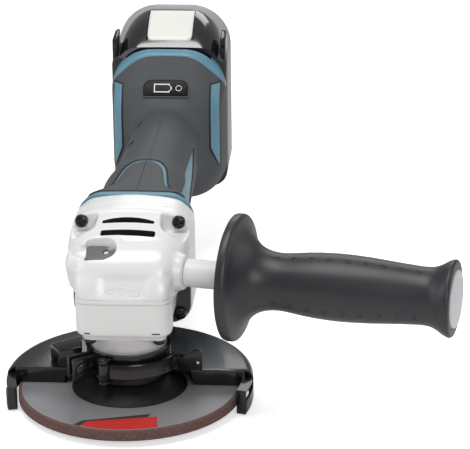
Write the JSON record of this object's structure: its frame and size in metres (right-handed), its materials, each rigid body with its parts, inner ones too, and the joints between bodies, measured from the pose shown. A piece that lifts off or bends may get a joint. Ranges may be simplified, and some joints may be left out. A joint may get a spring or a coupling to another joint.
{
  "type": "angle grinder",
  "caption": "Battery angle grinder with a paddle switch, a side handle, a half guard on a lever clamp and a depressed-centre grinding wheel.",
  "frame": {"origin": "on the wheel axis, on the face that the wheel seats against", "axes": "+Z along the wheel axis towards the gear head, +Y back along the body to the battery, +X towards the side handle"},
  "size_m": [0.2538, 0.3669, 0.152],
  "materials": {
    "painted_casting": "satin",
    "bare_casting": "satin",
    "steel": "machined",
    "dark_steel": "satin",
    "guard_paint": "gloss",
    "abrasive": "rough",
    "blue_plastic": "fine texture",
    "grip_rubber": "textured",
    "black_plastic": "fine texture",
    "gloss_black": "gloss",
    "grey_plastic": "fine texture",
    "white_plastic": "satin",
    "copper": "enamelled",
    "lamination": "matt",
    "cell_wrap": "gloss",
    "wire_sleeve": "satin"
  },
  "bodies": {
    "tool": {"gear_housing": "painted_casting", "gear_housing_screws": "dark_steel", "bearing_box": "bare_casting", "bearing_box_screws": "dark_steel", "bearing_retainer": "steel", "spindle_bearing": "steel", "spindle_top_bearing": "steel", "motor_front_bearing": "steel", "motor_rear_bearing": "steel", "bearing_cushion": "grip_rubber", "air_baffle": "black_plastic", "stator_core": "lamination", "stator_windings": "copper", "motor_leads": "wire_sleeve", "motor_housing": "blue_plastic", "handle_left": "grip_rubber", "handle_right": "grip_rubber", "handle_screws": "steel", "controller": "bare_casting", "terminal_block": "black_plastic", "switch_unit": "black_plastic", "paddle_pin": "steel", "paddle_spring": "steel", "gauge_panel": "gloss_black", "side_handle_stud": "steel", "side_handle_collar": "white_plastic", "side_handle_grip": "grip_rubber", "side_handle_cap": "grey_plastic"},
    "spindle": {"spindle": "steel", "bevel_gear": "steel", "gear_circlip": "steel", "inner_flange": "dark_steel", "grinding_wheel": "abrasive", "lock_nut": "dark_steel"},
    "rotor": {"rotor_shaft": "steel", "rotor_core": "lamination", "rotor_magnets": "lamination", "cooling_fan": "white_plastic", "pinion": "steel", "pinion_nut": "steel"},
    "shaft_lock": {"lock_button": "black_plastic", "lock_pin": "steel", "lock_spring": "steel"},
    "guard": {"wheel_guard": "guard_paint", "guard_collar": "guard_paint", "clamp_screw": "steel", "clamp_nut": "steel", "lever_pin": "steel"},
    "clamp_lever": {"clamp_lever": "guard_paint"},
    "paddle": {"paddle": "black_plastic", "lock_off_spring": "steel"},
    "lock_off": {"lock_off_lever": "black_plastic"},
    "plunger": {"switch_plunger": "wire_sleeve"},
    "gauge_button": {"gauge_button": "black_plastic"},
    "battery": {"battery_front_case": "gloss_black", "battery_rear_case": "grey_plastic", "battery_cells": "cell_wrap"},
    "battery_button": {"battery_button": "white_plastic", "battery_button_spring": "steel"}
  },
  "joints": [
    {"name": "spindle_spin", "type": "hinge", "parent": "tool", "child": "spindle", "pos_m": [0, 0, 0], "axis": [0, 0, 1], "continuous": true},
    {"name": "rotor_spin", "type": "hinge", "parent": "tool", "child": "rotor", "pos_m": [0, 0, 0.055], "axis": [0, 1, 0], "continuous": true},
    {"name": "shaft_lock_press", "type": "slide", "parent": "tool", "child": "shaft_lock", "axis": [0, 0, -1], "range_m": [0, 0.005], "stiffness_N_per_m": 600, "springref_m": -0.003, "deforming": ["lock_spring"]},
    {"name": "guard_turn", "type": "hinge", "parent": "tool", "child": "guard", "pos_m": [0, 0, 0], "axis": [0, 0, 1], "range_deg": [-90, 90]},
    {"name": "clamp_lever_open", "type": "hinge", "parent": "guard", "child": "clamp_lever", "pos_m": [-0.01115, -0.02628, 0.0115], "axis": [0, 0, -1], "range_deg": [0, 100]},
    {"name": "paddle_press", "type": "hinge", "parent": "tool", "child": "paddle", "pos_m": [0, 0.218, 0.038], "axis": [-1, 0, 0], "range_deg": [0, 4.6], "stiffness_Nm_per_rad": 2, "springref_deg": -5.73},
    {"name": "plunger_press", "type": "slide", "parent": "tool", "child": "plunger", "axis": [0, 0, 1], "range_m": [0, 0.0048]},
    {"name": "lock_off_push", "type": "hinge", "parent": "paddle", "child": "lock_off", "pos_m": [0, 0.141, 0.02538], "axis": [-1, 0, 0], "range_deg": [0, 25], "stiffness_Nm_per_rad": 0.05, "springref_deg": -17.19},
    {"name": "gauge_button_press", "type": "slide", "parent": "tool", "child": "gauge_button", "axis": [0, 0.7809, -0.6247], "range_m": [0, 0.0008], "stiffness_N_per_m": 500, "springref_m": -0.001},
    {"name": "battery_slide", "type": "slide", "parent": "tool", "child": "battery", "axis": [0, 0, 1], "range_m": [0, 0.082]},
    {"name": "battery_button_press", "type": "slide", "parent": "battery", "child": "battery_button", "axis": [0, 0, -1], "range_m": [0, 0.002], "stiffness_N_per_m": 800, "springref_m": -0.002, "deforming": ["battery_button_spring"]}
  ],
  "couplings": [
    {"joint": "rotor_spin", "follows": "spindle_spin", "ratio": 3.2},
    {"joint": "plunger_press", "follows": "paddle_press", "m_per_rad": 0.058}
  ]
}
